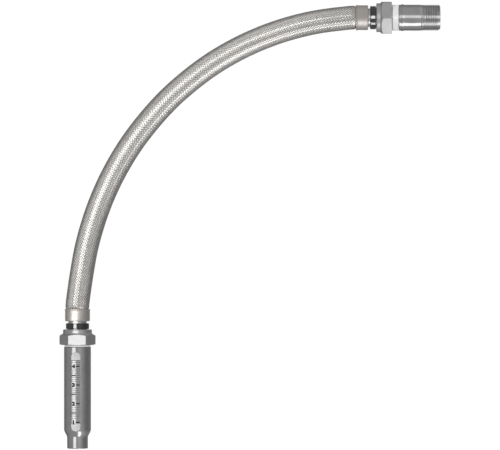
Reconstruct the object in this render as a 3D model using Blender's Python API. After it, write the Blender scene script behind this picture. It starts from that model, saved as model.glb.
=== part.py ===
# Braided fluid transfer hose: a screw-in inlet adapter on one end, a graduated nozzle on the other,
# each held by a union nut on a hose tail that a ferrule crimps into the hose.
# Metres, +Z up. The hose lies on the ground, bent through a quarter turn in the XY plane.

import math

import bmesh
import bpy
from mathutils import Matrix, Vector

# Fits
fit_gap = 0.00025  # left between two pieces that touch
facet_segments = 40  # sides of the turned pieces that show
inner_segments = 24  # sides of the turned pieces inside

# Hose
hose_od = 0.0130
hose_bore = 0.0082
braid_wall = 0.00075
crimped_braid_wall = 0.0005  # the braid's wall where the ferrule squeezes it
crimp_step = 0.0004  # how much further out each inner layer starts to narrow
crimp_slope = 0.0001  # length of the step where a layer narrows
straight_lead = 0.0030  # straight stretch of hose before it starts to bend
hose_bevel_resolution = 4
hose_point_spacing = 2.0  # in hose diameters
floor_gap = 0.00005  # height of the lying hose above the ground
settle_length = 0.070  # length over which the hose comes down from a fitting to the ground

# Route of the hose's centreline in plan, from the nozzle ferrule's mouth to the inlet ferrule's mouth
hose_route = [
    (-0.0932, -0.0456),
    (-0.0910, -0.0268),
    (-0.0882, -0.0115),
    (-0.0840, 0.0034),
    (-0.0785, 0.0178),
    (-0.0717, 0.0315),
    (-0.0636, 0.0446),
    (-0.0543, 0.0567),
    (-0.0440, 0.0680),
    (-0.0325, 0.0782),
    (-0.0202, 0.0873),
    (-0.0069, 0.0951),
    (0.0071, 0.1015),
    (0.0218, 0.1065),
    (0.0370, 0.1100),
    (0.0576, 0.1122),
]

# Ferrules
ferrule_od = 0.0134
ferrule_wall = 0.0006
ferrule_length = 0.0065
ferrule_end_wall = 0.0008
ferrule_round = 0.0005
lip_width = 0.0006
lip_rise = 0.00022

# Hose tails
tail_bore = 0.0055
neck_od = 0.0099
neck_gap = 0.0011  # length of neck that shows between ferrule and collar
neck_lead = 0.0005  # neck inside the ferrule, before its end wall
flange_thickness = 0.0012
barb_count = 3
barb_length = 0.0014
barb_depth = 0.00045

# Black collars behind the nuts
collar_wall = 0.00105
collar_length = 0.00315
collar_round = 0.0004

# Union nuts
nut_across_flats = 0.0170
nut_length = 0.0083
nut_rear_wall = 0.0018
nut_collar_od = 0.0156
nut_collar_length = 0.0019
nut_cone_length = 0.0021
nut_chamfer = 0.0006
nut_edge = 0.0003
inlet_nut_turn = math.radians(34)  # from a flat facing up
thread_major = 0.0120
gasket_thickness = 0.0010
gasket_hole = 0.0060

# Inlet adapter and its seal ring
seal_ring_width = 0.000975  # from its hole to its outside
seal_ring_thickness = 0.0033
seal_ring_round = 0.0003
adapter_od = 0.0140
adapter_length = 0.0224
adapter_bore = 0.0090
adapter_bead_at = 0.0013
adapter_bead_width = 0.0013
adapter_bead_rise = 0.00025
adapter_chamfer = 0.0006

# Nozzle barrel
seal_washer_width = 0.000925  # from its hole to its outside
seal_washer_thickness = 0.0005
barrel_od = 0.0145
barrel_straight = 0.0447
barrel_edge = 0.0004
shoulder_length = 0.0046
tip_od = 0.0112
tip_length = 0.0058
tip_bore = 0.0068
shoulder_steps = 6
spigot_edge = 0.0004

# Milled slot in the barrel, with the graduated strip let into it
slot_width = 0.00515
slot_length = 0.0430
slot_start = 0.0028  # from the barrel's top
slot_depth = 0.0010
slot_turn = math.radians(7)  # from straight up
slot_end_sides = 12
strip_start = 0.00715
strip_length = 0.0344
strip_sink = 0.0001  # below the barrel's own round
strip_arc_steps = 8

# Check valve in the barrel
seat_length = 0.0060
seat_bore = 0.0044
seat_mouth = 0.0058
seat_counterbore = 0.0098
seat_slack = 0.0004
o_ring_section = 0.0010
ball_diameter = 0.0070
valve_bore = 0.0086
valve_chamber_length = 0.0180
spring_wire = 0.0006
spring_turns = 6
spring_points_per_turn = 10

# Sizes that follow from those above
nut_across_corners = nut_across_flats / math.cos(math.radians(30))
nozzle_height = nut_across_flats / 2
inlet_height = nut_across_corners / 2 * math.cos(inlet_nut_turn - math.radians(30))
neck_hole = neck_od / 2 + fit_gap
spigot_radius = (thread_major - fit_gap) / 2
nut_bore_radius = (thread_major + fit_gap) / 2

hose_sides = 2 * (hose_bevel_resolution + 2)
hose_flat = math.cos(math.pi / hose_sides)  # a flat's distance over a corner's, round the hose
layer_gap = fit_gap / hose_flat

# Stations along a fitting's axis, from the ferrule's mouth towards the free end
tail_shoulder_at = ferrule_length - ferrule_end_wall - neck_lead
hose_end_at = tail_shoulder_at - fit_gap
collar_at = ferrule_length + neck_gap
nut_at = collar_at + collar_length + fit_gap
nut_face_at = nut_at + nut_length
flange_at = nut_at + nut_rear_wall + fit_gap
flange_face_at = flange_at + flange_thickness
gasket_at = flange_face_at + fit_gap
spigot_at = gasket_at + gasket_thickness + fit_gap
seal_at = nut_face_at + fit_gap
adapter_shoulder_at = seal_at + seal_ring_thickness + fit_gap
barrel_shoulder_at = seal_at + seal_washer_thickness + fit_gap


def clear_scene():
    for thing in list(bpy.data.objects):
        bpy.data.objects.remove(thing)


def finish_of(name, colour, roughness, metallic):
    made = bpy.data.materials.new(name)
    made.use_nodes = True
    shader = made.node_tree.nodes["Principled BSDF"]
    shader.inputs["Base Color"].default_value = (*colour, 1.0)
    shader.inputs["Roughness"].default_value = roughness
    shader.inputs["Metallic"].default_value = metallic
    return made


def fitting_axis(name, mouth, along):
    """An empty at a ferrule's mouth: its Z runs to the fitting's free end, and its X points up."""
    up = Vector((0, 0, 1))
    side = along.cross(up)
    empty = bpy.data.objects.new(name, None)
    bpy.context.scene.collection.objects.link(empty)
    turned_to = Matrix((up, side, along)).transposed()
    empty.matrix_world = Matrix.Translation(mouth) @ turned_to.to_4x4()
    return empty


def add_object(name, shape, axis=None, finish=None, sharp=math.radians(35)):
    made = bpy.data.objects.new(name, shape)
    bpy.context.scene.collection.objects.link(made)
    made.parent = axis
    if finish:
        made.data.materials.append(finish)
    if made.type == "MESH":
        shape.shade_smooth()
        shape.set_sharp_from_angle(angle=sharp)
    return made


def mesh_from(bm, name):
    bmesh.ops.recalc_face_normals(bm, faces=bm.faces)
    shape = bpy.data.meshes.new(name)
    bm.to_mesh(shape)
    bm.free()
    return shape


def turned(name, axis, finish, profile, segments=facet_segments):
    """A closed profile of (radius, station) points, turned about the fitting's axis."""
    bm = bmesh.new()
    points = [bm.verts.new((radius, 0, station)) for radius, station in profile]
    edges = [bm.edges.new((points[i - 1], points[i])) for i in range(len(points))]
    bmesh.ops.spin(
        bm,
        geom=points + edges,
        cent=(0, 0, 0),
        axis=(0, 0, 1),
        angle=2 * math.pi,
        steps=segments,
        use_merge=True,
    )
    return add_object(name, mesh_from(bm, name), axis, finish)


def quarter_round(corner_radius, corner_station, size, from_end, steps=3):
    """Points that round an outer corner, in the order of falling station."""
    points = []
    for i in range(steps + 1):
        swing = i / steps * math.pi / 2
        if not from_end:
            swing = math.pi / 2 - swing
        inward = size * (1 - math.sin(swing))
        back = size * (1 - math.cos(swing))
        station = corner_station - back if from_end else corner_station + back
        points.append((corner_radius - inward, station))
    return points


def cutter_of(thing):
    thing.hide_render = True
    thing.display_type = "WIRE"
    return thing


def boolean(thing, other, operation):
    made = thing.modifiers.new(operation.lower(), "BOOLEAN")
    made.operation = operation
    made.solver = "EXACT"
    made.object = cutter_of(other)


# Hose


def lying_height(end_height, distance):
    """Height of the centreline at a distance from a fitting that holds it at end_height."""
    low = hose_od / 2 + floor_gap
    share = min(max(distance / settle_length, 0), 1)
    return end_height + (low - end_height) * share * share * (3 - 2 * share)


def route_points():
    """The route's own points in space, with the fittings' heights at its ends."""
    first, last = Vector(hose_route[0]), Vector(hose_route[-1])
    points = []
    for place in hose_route:
        from_nozzle = (Vector(place) - first).length - straight_lead
        from_inlet = (Vector(place) - last).length - straight_lead
        if from_nozzle < from_inlet:
            height = lying_height(nozzle_height, from_nozzle)
        else:
            height = lying_height(inlet_height, from_inlet)
        points.append(Vector((*place, height)))
    return points


def smooth_curve(points, steps=16):
    """Points close together on a smooth curve through all but the first and last of the given points."""
    made = []
    for before, start, end, after in zip(points, points[1:], points[2:], points[3:]):
        for i in range(steps):
            t = i / steps
            pull_in = (end - before) / 2
            pull_out = (after - start) / 2
            made.append(
                start * (2 * t**3 - 3 * t**2 + 1)
                + pull_in * (t**3 - 2 * t**2 + t)
                + end * (3 * t**2 - 2 * t**3)
                + pull_out * (t**3 - t**2)
            )
    made.append(points[-2])
    return made


def evenly(points, spacing):
    """Points at about the given spacing along a line of points, its two ends included."""
    reach = [0.0]
    for a, b in zip(points, points[1:]):
        reach.append(reach[-1] + (b - a).length)
    count = max(2, round(reach[-1] / spacing))
    made = []
    k = 0
    for i in range(count):
        want = reach[-1] * i / count
        while reach[k + 1] < want:
            k += 1
        share = (want - reach[k]) / (reach[k + 1] - reach[k])
        made.append(points[k].lerp(points[k + 1], share))
    made.append(points[-1])
    return made


def hose_tube(name, full_radius, crimped_radius, step_at, past_end):
    """A round tube along the hose that narrows to crimped_radius inside both ferrules."""
    end = hose_end_at + past_end
    nozzle_run = [
        (nozzle_mouth + nozzle_along * end, crimped_radius),
        (nozzle_mouth - nozzle_along * step_at, crimped_radius),
        (nozzle_mouth - nozzle_along * (step_at + crimp_slope), full_radius),
    ]
    inlet_run = [
        (inlet_mouth - inlet_along * (step_at + crimp_slope), full_radius),
        (inlet_mouth - inlet_along * step_at, crimped_radius),
        (inlet_mouth + inlet_along * end, crimped_radius),
    ]
    free_run = [(place, full_radius) for place in hose_line]
    line = bpy.data.curves.new(name, "CURVE")
    line.dimensions = "3D"
    line.twist_mode = "Z_UP"
    line.bevel_depth = full_radius
    line.bevel_resolution = hose_bevel_resolution
    line.use_fill_caps = True
    spline = line.splines.new("POLY")
    run = nozzle_run + free_run + inlet_run
    spline.points.add(len(run) - 1)
    for point, (place, radius) in zip(spline.points, run):
        point.co = (*place, 1)
        point.radius = radius / full_radius
    guide = cutter_of(add_object(name + "_guide", line))
    bpy.context.view_layer.update()
    seen = guide.evaluated_get(bpy.context.evaluated_depsgraph_get())
    bm = bmesh.new()
    bm.from_mesh(seen.to_mesh())
    seen.to_mesh_clear()
    bmesh.ops.remove_doubles(bm, verts=bm.verts, dist=1e-7)
    return mesh_from(bm, name)


def hose_layer(name, finish, outer, crimped_outer, outer_step, inner, crimped_inner, inner_step):
    shape = hose_tube(name, outer, crimped_outer, outer_step, 0)
    bore = hose_tube(name + "_bore", inner, crimped_inner, inner_step, ferrule_length)
    layer = add_object(name, shape, None, finish, math.radians(50))
    boolean(layer, add_object(name + "_bore", bore), "DIFFERENCE")


def make_hose():
    ferrule_inner = ferrule_od / 2 - ferrule_wall
    crimped_braid = ferrule_inner - fit_gap
    crimped_braid_inner = crimped_braid - crimped_braid_wall
    braid_inner = hose_od / 2 - braid_wall
    braid_step = fit_gap
    bore = hose_bore / 2
    hose_layer(
        "braid_sleeve",
        braid_steel,
        hose_od / 2,
        crimped_braid,
        braid_step,
        braid_inner,
        crimped_braid_inner,
        braid_step + crimp_step,
    )
    hose_layer(
        "inner_hose",
        liner_rubber,
        braid_inner - layer_gap,
        crimped_braid_inner - layer_gap,
        braid_step + 2 * crimp_step,
        bore,
        bore,
        braid_step,
    )


# Pieces that both ends have


def make_ferrule(name, axis):
    outer = ferrule_od / 2
    inner = outer - ferrule_wall
    profile = quarter_round(outer, ferrule_length, ferrule_round, True)
    profile += [
        (outer, lip_width),
        (outer + lip_rise, lip_width),
        (outer + lip_rise, 0),
        (inner, 0),
        (inner, ferrule_length - ferrule_end_wall),
        (neck_hole, ferrule_length - ferrule_end_wall),
        (neck_hole, ferrule_length),
    ]
    turned(name, axis, ferrule_steel, profile)


def make_tail(name, axis):
    crest = hose_bore / 2 * hose_flat - fit_gap
    root = crest - barb_depth
    profile = [
        (spigot_radius, flange_face_at),
        (spigot_radius, flange_at),
        (neck_od / 2, flange_at),
        (neck_od / 2, tail_shoulder_at),
        (root, tail_shoulder_at),
    ]
    station = tail_shoulder_at - barb_length / 3
    for _ in range(barb_count):
        profile += [(root, station), (crest, station), (root, station - barb_length * 0.9)]
        station -= barb_length
    bore = tail_bore / 2
    profile += [(root, station), (bore, station), (bore, flange_face_at)]
    turned(name, axis, fitting_steel, profile, inner_segments)


def make_collar(name, axis):
    outer = neck_hole + collar_wall
    profile = quarter_round(outer, collar_at + collar_length, collar_round, True)
    profile += quarter_round(outer, collar_at, collar_round, False)
    profile += [(neck_hole, collar_at), (neck_hole, collar_at + collar_length)]
    turned(name, axis, collar_black, profile)


def make_nut(name, axis, turn):
    past_corners = nut_across_corners / 2 + nut_edge
    collar = nut_collar_od / 2
    profile = [
        (nut_across_flats / 2, nut_face_at),
        (past_corners, nut_face_at - nut_chamfer),
        (past_corners, nut_at + nut_collar_length + nut_cone_length),
        (collar, nut_at + nut_collar_length),
        (collar, nut_at + nut_edge),
        (collar - nut_edge, nut_at),
        (neck_hole, nut_at),
        (neck_hole, nut_at + nut_rear_wall),
        (nut_bore_radius, nut_at + nut_rear_wall),
        (nut_bore_radius, nut_face_at - nut_edge),
        (nut_bore_radius + nut_edge, nut_face_at),
    ]
    nut = turned(name, axis, nut_steel, profile)
    bm = bmesh.new()
    bmesh.ops.create_cone(
        bm,
        cap_ends=True,
        segments=6,
        radius1=nut_across_corners / 2,
        radius2=nut_across_corners / 2,
        depth=2 * nut_length,
    )
    middle = Matrix.Translation((0, 0, nut_at + nut_length / 2))
    bmesh.ops.transform(bm, matrix=middle @ Matrix.Rotation(turn, 4, "Z"), verts=bm.verts)
    boolean(nut, add_object(name + "_hexagon", mesh_from(bm, name), axis), "INTERSECT")


def make_gasket(name, axis):
    profile = [
        (spigot_radius, gasket_at + gasket_thickness),
        (spigot_radius, gasket_at),
        (gasket_hole / 2, gasket_at),
        (gasket_hole / 2, gasket_at + gasket_thickness),
    ]
    turned(name, axis, seal_white, profile, inner_segments)


def make_union(prefix, axis, nut_turn):
    make_ferrule(prefix + "_ferrule", axis)
    make_tail(prefix + "_hose_tail", axis)
    make_collar(prefix + "_collar", axis)
    make_nut(prefix + "_union_nut", axis, nut_turn)
    make_gasket(prefix + "_gasket", axis)


# Inlet end


def make_seal_ring(axis):
    inner = spigot_radius + fit_gap
    outer = inner + seal_ring_width
    profile = quarter_round(outer, seal_at + seal_ring_thickness, seal_ring_round, True)
    profile += quarter_round(outer, seal_at, seal_ring_round, False)
    profile += [(inner, seal_at), (inner, seal_at + seal_ring_thickness)]
    turned("inlet_seal_ring", axis, seal_white, profile)


def make_adapter(axis):
    outer = adapter_od / 2
    bore = adapter_bore / 2
    end = adapter_shoulder_at + adapter_length
    bead_start = adapter_shoulder_at + adapter_bead_at
    bead_end = bead_start + adapter_bead_width
    bead_slope = adapter_bead_width / 4
    profile = [
        (outer - adapter_chamfer, end),
        (outer, end - adapter_chamfer),
        (outer, bead_end),
        (outer + adapter_bead_rise, bead_end - bead_slope),
        (outer + adapter_bead_rise, bead_start + bead_slope),
        (outer, bead_start),
        (outer, adapter_shoulder_at),
        (spigot_radius, adapter_shoulder_at),
        (spigot_radius, spigot_at + spigot_edge),
        (spigot_radius - spigot_edge, spigot_at),
        (bore, spigot_at),
        (bore, end - adapter_chamfer),
        (bore + adapter_chamfer, end),
    ]
    turned("inlet_adapter", axis, adapter_steel, profile)


# Nozzle end


def make_seal_washer(axis):
    inner = spigot_radius + fit_gap
    outer = inner + seal_washer_width
    profile = [
        (outer, seal_at + seal_washer_thickness),
        (outer, seal_at),
        (inner, seal_at),
        (inner, seal_at + seal_washer_thickness),
    ]
    turned("nozzle_seal_washer", axis, seal_white, profile)


def make_barrel(axis):
    outer = barrel_od / 2
    tip = tip_od / 2
    shoulder_start = barrel_shoulder_at + barrel_straight
    tip_start = shoulder_start + shoulder_length
    end = tip_start + tip_length
    profile = [(tip - barrel_edge, end), (tip, end - barrel_edge)]
    for i in range(shoulder_steps + 1):
        share = i / shoulder_steps
        blend = (1 - math.cos(math.pi * share)) / 2
        profile.append((tip + (outer - tip) * blend, tip_start - shoulder_length * share))
    profile += [
        (outer, barrel_shoulder_at + barrel_edge),
        (outer - barrel_edge, barrel_shoulder_at),
        (spigot_radius, barrel_shoulder_at),
        (spigot_radius, spigot_at + spigot_edge),
        (spigot_radius - spigot_edge, spigot_at),
        (seat_counterbore / 2, spigot_at),
        (seat_counterbore / 2, seat_end_at + fit_gap),
        (valve_bore / 2, seat_end_at + fit_gap),
        (valve_bore / 2, spring_ledge_at),
        (tip_bore / 2, spring_ledge_at),
        (tip_bore / 2, end),
    ]
    barrel = turned("nozzle_barrel", axis, barrel_steel, profile)
    boolean(barrel, make_slot_cutter(axis), "DIFFERENCE")


def make_slot_cutter(axis):
    """A round-ended slot's outline, raised from the slot's floor to above the barrel."""
    half = slot_width / 2
    near = barrel_shoulder_at + slot_start + half
    far = barrel_shoulder_at + slot_start + slot_length - half
    floor = barrel_od / 2 - slot_depth
    bm = bmesh.new()
    outline = []
    for centre, swing_from in ((far, 0), (near, math.pi)):
        for i in range(slot_end_sides + 1):
            swing = swing_from + math.pi * i / slot_end_sides
            place = (floor, half * math.cos(swing), centre + half * math.sin(swing))
            outline.append(bm.verts.new(place))
    face = bm.faces.new(outline)
    raised = bmesh.ops.extrude_face_region(bm, geom=[face])["geom"]
    tops = [v for v in raised if isinstance(v, bmesh.types.BMVert)]
    bmesh.ops.translate(bm, verts=tops, vec=(barrel_od / 2, 0, 0))
    bmesh.ops.rotate(bm, verts=bm.verts, matrix=Matrix.Rotation(slot_turn, 3, "Z"))
    return add_object("slot_cutter", mesh_from(bm, "slot_cutter"), axis)


def make_scale_strip(axis):
    """A strip with a crowned face that follows the barrel's round."""
    half = slot_width / 2 - fit_gap
    crown = barrel_od / 2 - strip_sink
    underside = barrel_od / 2 - slot_depth + fit_gap
    start = barrel_shoulder_at + strip_start
    widest = math.asin(half / crown)
    section = [(underside, -half), (underside, half)]
    for i in range(strip_arc_steps + 1):
        swing = widest - 2 * widest * i / strip_arc_steps
        section.append((crown * math.cos(swing), crown * math.sin(swing)))
    bm = bmesh.new()
    face = bm.faces.new([bm.verts.new((x, y, start)) for x, y in section])
    raised = bmesh.ops.extrude_face_region(bm, geom=[face])["geom"]
    tops = [v for v in raised if isinstance(v, bmesh.types.BMVert)]
    bmesh.ops.translate(bm, verts=tops, vec=(0, 0, strip_length))
    bmesh.ops.rotate(bm, verts=bm.verts, matrix=Matrix.Rotation(slot_turn, 3, "Z"))
    add_object("nozzle_scale_strip", mesh_from(bm, "nozzle_scale_strip"), axis, strip_satin)


def make_valve(axis):
    outer = seat_counterbore / 2 - seat_slack
    ring_outer = seat_counterbore / 2 - fit_gap
    groove = ring_outer - o_ring_section - fit_gap
    groove_half = o_ring_section / 2 + fit_gap
    middle = seat_at + seat_length / 2
    bore = seat_bore / 2
    mouth = seat_mouth / 2
    profile = [
        (outer, seat_end_at),
        (outer, middle + groove_half),
        (groove, middle + groove_half),
        (groove, middle - groove_half),
        (outer, middle - groove_half),
        (outer, seat_at),
        (bore, seat_at),
        (bore, seat_end_at - (mouth - bore)),
        (mouth, seat_end_at),
    ]
    turned("valve_seat", axis, brass, profile, inner_segments)
    section = []
    for i in range(10):
        swing = -2 * math.pi * i / 10
        radius = ring_outer - o_ring_section / 2 * (1 - math.cos(swing))
        section.append((radius, middle + o_ring_section / 2 * math.sin(swing)))
    turned("valve_seat_o_ring", axis, seal_black, section, inner_segments)
    make_ball(axis)
    make_spring(axis)


def make_ball(axis):
    bm = bmesh.new()
    bmesh.ops.create_uvsphere(bm, u_segments=20, v_segments=12, radius=ball_diameter / 2)
    ball = add_object("check_ball", mesh_from(bm, "check_ball"), axis, ball_steel)
    ball.location = (0, 0, ball_at)


def make_spring(axis):
    """A coil from the ball to the ledge in the barrel's bore."""
    wire = spring_wire / 2
    radius = valve_bore / 2 - fit_gap - wire
    reach = ball_diameter / 2 + wire + fit_gap
    start = ball_at + math.sqrt(reach**2 - radius**2)
    end = spring_ledge_at - wire - fit_gap
    line = bpy.data.curves.new("valve_spring", "CURVE")
    line.dimensions = "3D"
    line.bevel_depth = wire
    line.bevel_resolution = 1
    line.use_fill_caps = True
    spline = line.splines.new("POLY")
    count = spring_turns * spring_points_per_turn
    spline.points.add(count)
    for i, point in enumerate(spline.points):
        swing = 2 * math.pi * i / spring_points_per_turn
        station = start + (end - start) * i / count
        point.co = (radius * math.cos(swing), radius * math.sin(swing), station, 1)
    add_object("valve_spring", line, axis, spring_steel)
    print("least gap between the spring's coils", (end - start) / spring_turns - spring_wire)


clear_scene()

braid_steel = finish_of("braid_steel", (0.60, 0.57, 0.54), 0.35, 1.0)
liner_rubber = finish_of("liner_rubber", (0.03, 0.03, 0.03), 0.6, 0.0)
ferrule_steel = finish_of("ferrule_steel", (0.62, 0.59, 0.56), 0.3, 1.0)
fitting_steel = finish_of("fitting_steel", (0.60, 0.60, 0.60), 0.3, 1.0)
collar_black = finish_of("collar_black", (0.02, 0.02, 0.02), 0.2, 0.0)
nut_steel = finish_of("nut_steel", (0.62, 0.62, 0.62), 0.3, 1.0)
adapter_steel = finish_of("adapter_steel", (0.55, 0.55, 0.55), 0.35, 1.0)
barrel_steel = finish_of("barrel_steel", (0.50, 0.50, 0.50), 0.35, 1.0)
strip_satin = finish_of("strip_satin", (0.75, 0.75, 0.75), 0.4, 1.0)
seal_white = finish_of("seal_white", (0.90, 0.90, 0.88), 0.5, 0.0)
seal_black = finish_of("seal_black", (0.02, 0.02, 0.02), 0.7, 0.0)
brass = finish_of("brass", (0.75, 0.58, 0.28), 0.3, 1.0)
ball_steel = finish_of("ball_steel", (0.7, 0.7, 0.7), 0.15, 1.0)
spring_steel = finish_of("spring_steel", (0.6, 0.6, 0.6), 0.3, 1.0)

seat_at = spigot_at + fit_gap
seat_end_at = seat_at + seat_length
ball_at = seat_end_at - seat_mouth / 2 + math.sqrt(2) * (ball_diameter / 2 + fit_gap / 2)
spring_ledge_at = seat_end_at + valve_chamber_length

nozzle_along = Vector((0, -1, 0))
inlet_along = Vector((1, 0, 0))
route = route_points()
nozzle_mouth = route[0]
inlet_mouth = route[-1]
lead_out = nozzle_mouth - nozzle_along * straight_lead
lead_in = inlet_mouth - inlet_along * straight_lead
whole_route = [nozzle_mouth, lead_out, *route[1:-1], lead_in, inlet_mouth]
hose_line = evenly(smooth_curve(whole_route), hose_point_spacing * hose_od)

make_hose()

inlet_axis = fitting_axis("inlet_axis", inlet_mouth, inlet_along)
make_union("inlet", inlet_axis, inlet_nut_turn)
make_seal_ring(inlet_axis)
make_adapter(inlet_axis)

nozzle_axis = fitting_axis("nozzle_axis", nozzle_mouth, nozzle_along)
make_union("nozzle", nozzle_axis, 0)
make_seal_washer(nozzle_axis)
make_barrel(nozzle_axis)
make_scale_strip(nozzle_axis)
make_valve(nozzle_axis)
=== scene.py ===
import math

import bmesh
import bpy
from mathutils import Matrix, Vector


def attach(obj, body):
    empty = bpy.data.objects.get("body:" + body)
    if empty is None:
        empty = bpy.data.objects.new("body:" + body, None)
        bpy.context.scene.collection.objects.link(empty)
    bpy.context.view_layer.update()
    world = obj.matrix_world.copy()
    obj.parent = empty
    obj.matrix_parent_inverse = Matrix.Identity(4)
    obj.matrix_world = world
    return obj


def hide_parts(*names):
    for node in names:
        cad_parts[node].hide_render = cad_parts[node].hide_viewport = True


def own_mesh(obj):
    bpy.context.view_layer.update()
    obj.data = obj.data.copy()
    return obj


mm = 0.001
mergeGap = 1e-6  # points closer than this, in metres, are one
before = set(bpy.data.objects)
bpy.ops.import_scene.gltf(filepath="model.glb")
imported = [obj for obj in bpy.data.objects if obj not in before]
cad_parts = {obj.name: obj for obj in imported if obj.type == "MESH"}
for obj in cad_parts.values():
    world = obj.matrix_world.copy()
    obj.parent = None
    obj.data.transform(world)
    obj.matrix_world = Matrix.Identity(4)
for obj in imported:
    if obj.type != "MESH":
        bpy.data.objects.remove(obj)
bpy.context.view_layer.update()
print("frame:", len(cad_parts), "CAD nodes")

# Studio

photoView = {
    "centre": (0.00019, 0.0),
    "height": 3.0,
    "lens": 397.8,  # 0.54 mm to a pixel at the height of the fittings' axes
    "sensor": 36.0,
    "clip": (0.05, 50.0),
}

hosePieces = ["hoseBraid", "hoseLiner"]

studio = {
    "floorSize": 6.0,
    "floorColour": (0.90, 0.90, 0.90),
    "floorRoughness": 0.9,
    "floorGlow": 0.75,
    "floorDrop": 0.05,  # mm under the part
    "skyAcross": [(0.00, 0.34), (0.35, 0.36), (0.50, 0.42), (0.72, 0.52), (0.90, 0.34), (1.0, 0.20)],
    "skyHeight": [(0.00, 0.35), (0.25, 0.75), (0.50, 1.0), (1.0, 1.0)],
    "softboxes": [
        # name, pieces it lights, what it is aimed at, direction to it, its width axis, distance,
        # width, length, radiance
        ("keyHose", hosePieces,
         (-0.0932, 0.051, 0.0085), (-0.41, 0.0, 0.912), (1, 0, 0), 0.30, 0.14, 0.218, 1.9),
        ("keyArc", hosePieces,
         (-0.0200, 0.0900, 0.0070), (-0.23, 0.31, 0.92), (1, 0, 0), 0.45, 0.17, 0.20, 2.2),
        ("lowArc", hosePieces,
         (-0.0200, 0.0800, 0.0070), (0.39, -0.77, 0.50), (0, 1, 0), 0.70, 0.30, 0.40, 2.2),
        ("sideHose", hosePieces,
         (-0.0900, 0.0300, 0.0070), (-0.96, 0.10, 0.28), (0, 0, 1), 0.60, 0.40, 0.60, 0.40),
        ("sideRight", hosePieces,
         (-0.0800, 0.0000, 0.0070), (0.87, 0.0, 0.50), (0, 0, 1), 0.60, 0.50, 0.60, 0.16),
        ("sideArc", hosePieces,
         (-0.0200, 0.0900, 0.0070), (-0.40, 0.87, 0.28), (0, 0, 1), 0.60, 0.40, 0.60, 0.42),
        ("keyFerrule", ["nozzleFerrule", "nozzleHoseTail"],
         (-0.0932, -0.050, 0.0085), (-0.44, 0.0, 0.90), (1, 0, 0), 0.30, 0.28, 0.20, 2.5),
        ("keyCollar", ["nozzleCollar"],
         (-0.0932, -0.055, 0.0085), (-0.40, 0.0, 0.917), (1, 0, 0), 0.30, 0.15, 0.15, 8.0),
        ("keyNut", ["nozzleUnionNut"],
         (-0.0932, -0.0627, 0.0085), (-0.25, 0.0, 0.97), (1, 0, 0), 0.30, 0.24, 0.12, 1.25),
        ("keyNozzle", ["nozzleSealWasher", "nozzleBarrel", "nozzleScaleStrip", "nozzleScaleMarks"],
         (-0.0932, -0.110, 0.0085), (-0.50, 0.0, 0.866), (1, 0, 0), 0.30, 0.165, 0.30, 1.1),
        ("overInlet", ["inletHoseTail", "inletUnionNut", "inletAdapter"],
         (0.0800, 0.1122, 0.0098), (0.0, 0.12, 0.99), (0, 1, 0), 0.80, 0.34, 0.70, 0.65),
        ("lowInlet", ["inletAdapter"],
         (0.0900, 0.1122, 0.0098), (0.0, -0.91, 0.41), (0, 1, 0), 0.90, 0.45, 0.70, 1.5),
        ("crests", ["inletAdapter"],
         (0.0980, 0.1122, 0.0098), (0.72, 0.06, 0.69), (0, 1, 0), 0.80, 0.32, 0.44, 5.5),
        ("lowCrests", ["inletAdapter"],
         (0.0980, 0.1122, 0.0098), (0.72, -0.63, 0.29), (0, 1, 0), 0.80, 0.32, 0.44, 5.0),
        ("lowNut", ["inletHoseTail", "inletUnionNut", "nozzleBarrel"],
         (0.1050, 0.1122, 0.0098), (0.0, -0.91, 0.41), (0, 1, 0), 0.90, 0.45, 0.26, 1.6),
        ("lowFerrule", ["inletFerrule"],
         (0.0610, 0.1122, 0.0098), (0.0, -0.81, 0.59), (0, 1, 0), 0.80, 0.50, 0.30, 2.2),
        ("overCollar", ["inletCollar"],
         (0.0670, 0.1122, 0.0098), (0.0, 0.05, 1.0), (0, 1, 0), 0.80, 0.40, 0.30, 7.5),
        ("lowCollar", ["inletCollar"],
         (0.0670, 0.1122, 0.0098), (0.0, -0.90, 0.436), (0, 1, 0), 0.80, 0.32, 0.30, 6.5),
        ("fillSeals", ["inletSealRing", "nozzleSealWasher"],
         (0.0, 0.020, 0.0100), (0.10, 0.10, 0.98), (1, 0, 0), 0.80, 0.40, 0.40, 6.0),
    ],
}


def addCamera(view):
    lens = bpy.data.cameras.new("photoCamera")
    lens.lens = view["lens"]
    lens.sensor_width = view["sensor"]
    lens.clip_start, lens.clip_end = view["clip"]
    camera = bpy.data.objects.new("photoCamera", lens)
    camera.location = (*view["centre"], view["height"])  # unturned, so it looks straight down
    bpy.context.scene.collection.objects.link(camera)
    bpy.context.scene.camera = camera


def addSoftbox(name, pieces, aim, toward, widthAxis, distance, width, length, radiance):
    toward = Vector(toward).normalized()
    across = Vector(widthAxis)
    across = (across - toward * across.dot(toward)).normalized()
    light = bpy.data.lights.new(name, "AREA")
    light.shape = "RECTANGLE"
    light.size = width
    light.size_y = length
    light.energy = radiance * math.pi * width * length
    box = bpy.data.objects.new(name, light)
    turn = Matrix((across, toward.cross(across), toward)).transposed().to_4x4()
    box.matrix_world = Matrix.Translation(Vector(aim) + toward * distance) @ turn
    box.visible_camera = False
    bpy.context.scene.collection.objects.link(box)
    lit = bpy.data.collections.new(name + "Lights")
    for piece in pieces:
        lit.objects.link(bpy.data.objects[piece])
    box.light_linking.receiver_collection = lit


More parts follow.
